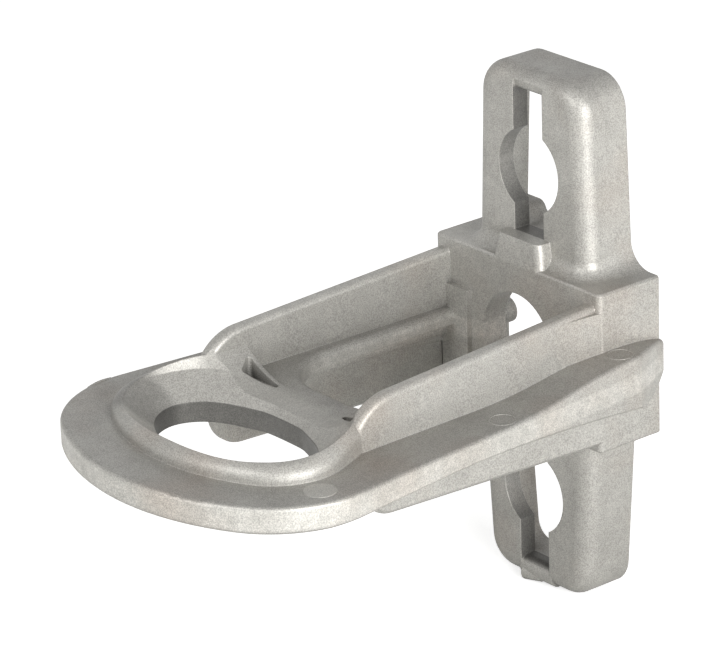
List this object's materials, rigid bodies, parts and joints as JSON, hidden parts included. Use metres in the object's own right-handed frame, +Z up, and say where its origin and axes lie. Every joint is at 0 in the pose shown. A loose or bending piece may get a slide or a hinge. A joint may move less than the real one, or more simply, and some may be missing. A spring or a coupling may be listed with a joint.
{
  "type": "cable anchor bracket",
  "caption": "Die-cast pole bracket: a hollow block with keyhole tabs above and below, and a tapering railed arm that ends in a rounded nose with an oval cable eye.",
  "frame": {"origin": "on the pole face (Y = 0), on the mid-plane, midway between the two bolt holes", "axes": "-Y along the arm towards the cable eye, +Y into the pole, +Z up through the upper tab, X across the bracket"},
  "size_m": [0.0786, 0.1182, 0.1133],
  "materials": {
    "cast_aluminium": "shot-blasted die casting, matt and finely grained"
  },
  "bodies": {
    "root": {"bracket_casting": "cast_aluminium"}
  },
  "joints": []
}
